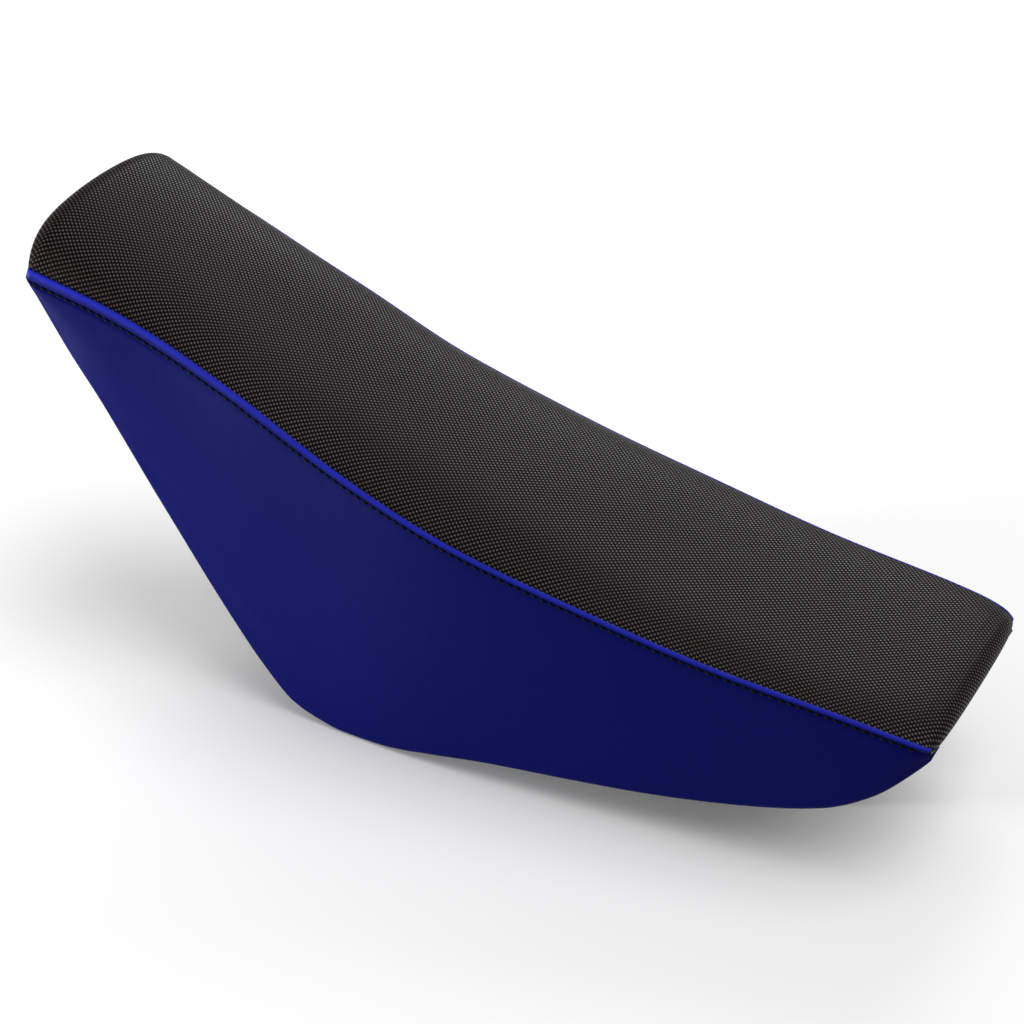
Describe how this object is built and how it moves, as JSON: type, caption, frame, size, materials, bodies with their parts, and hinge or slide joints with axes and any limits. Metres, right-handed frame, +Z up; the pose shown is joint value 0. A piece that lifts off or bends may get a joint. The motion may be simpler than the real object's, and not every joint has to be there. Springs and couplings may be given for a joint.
{
  "type": "motorcycle seat",
  "caption": "Off-road motorcycle seat: rising nose, grip-grained top panel, smooth side panels, foam on a moulded base pan with hook, catch and rear mounting tabs.",
  "frame": {"origin": "middle of the seat's outline in plan, on the surface the seat stands on", "axes": "+X towards the tail, +Z up, Y across the seat with the rider's left at -Y"},
  "size_m": [0.5923, 0.1918, 0.2937],
  "materials": {
    "grip_vinyl": "black vinyl with a small raised diamond grain, satin",
    "side_vinyl": "deep blue vinyl with a fine leather grain, satin",
    "foam": "moulded polyurethane foam, open and dull",
    "base_plastic": "black moulded polypropylene, fine matt texture",
    "bracket_steel": "black painted steel strap, semi-gloss",
    "zinc_steel": "zinc-plated steel, satin",
    "rubber": "moulded black rubber, matt"
  },
  "bodies": {
    "root": {"top_cover": "grip_vinyl", "side_cover_left": "side_vinyl", "side_cover_right": "side_vinyl", "foam_cushion": "foam", "base_pan": "base_plastic", "front_hook": "bracket_steel", "frame_catch": "bracket_steel", "rear_tab_left": "bracket_steel", "rear_tab_right": "bracket_steel", "front_rivet_left": "zinc_steel", "front_rivet_right": "zinc_steel", "catch_screw_left": "zinc_steel", "catch_screw_right": "zinc_steel", "catch_tee_nut_left": "zinc_steel", "catch_tee_nut_right": "zinc_steel", "rear_screw_left_1": "zinc_steel", "rear_screw_left_2": "zinc_steel", "rear_screw_right_1": "zinc_steel", "rear_screw_right_2": "zinc_steel", "rear_tee_nut_left_1": "zinc_steel", "rear_tee_nut_left_2": "zinc_steel", "rear_tee_nut_right_1": "zinc_steel", "rear_tee_nut_right_2": "zinc_steel", "rear_collar_left": "zinc_steel", "rear_collar_right": "zinc_steel", "rear_grommet_left": "rubber", "rear_grommet_right": "rubber", "tank_bumper_left": "rubber", "tank_bumper_right": "rubber", "middle_bumper_left": "rubber", "middle_bumper_right": "rubber", "rear_bumper_left": "rubber", "rear_bumper_right": "rubber"}
  },
  "joints": []
}
